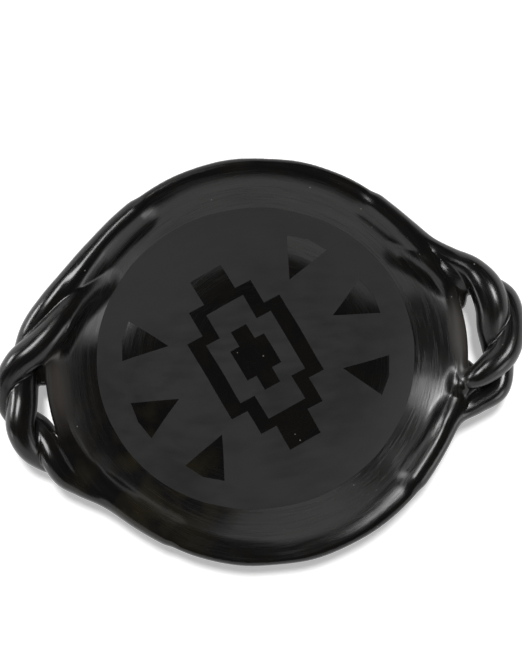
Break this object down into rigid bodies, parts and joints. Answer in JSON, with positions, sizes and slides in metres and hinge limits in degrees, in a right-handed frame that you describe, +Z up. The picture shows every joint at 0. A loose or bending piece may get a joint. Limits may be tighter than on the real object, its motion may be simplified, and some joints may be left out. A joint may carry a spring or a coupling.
{
  "type": "handled bowl",
  "caption": "Round blackware bowl with a rolled rim, a burnished black wall, a matte painted floor and a twisted rope handle on each side.",
  "frame": {"origin": "centre of the flat foot that the bowl stands on", "axes": "+Z up out of the mouth, +X through the right handle, +Y square to the handles"},
  "size_m": [0.3, 0.226, 0.0578],
  "materials": {
    "painted_clay": "matte slip over burnished, smoke-fired black clay",
    "burnished_clay": "stone-burnished, smoke-fired black clay, soft gloss",
    "handle_clay": "burnished rolled strands, glossy black with brown tints"
  },
  "bodies": {
    "root": {"base_dish": "painted_clay", "wall_coil_1": "burnished_clay", "wall_coil_2": "burnished_clay", "wall_coil_3": "burnished_clay", "rim_coil": "burnished_clay", "right_outer_strand": "handle_clay", "right_inner_strand": "handle_clay", "left_upper_strand": "handle_clay", "left_lower_strand": "handle_clay"}
  },
  "joints": []
}
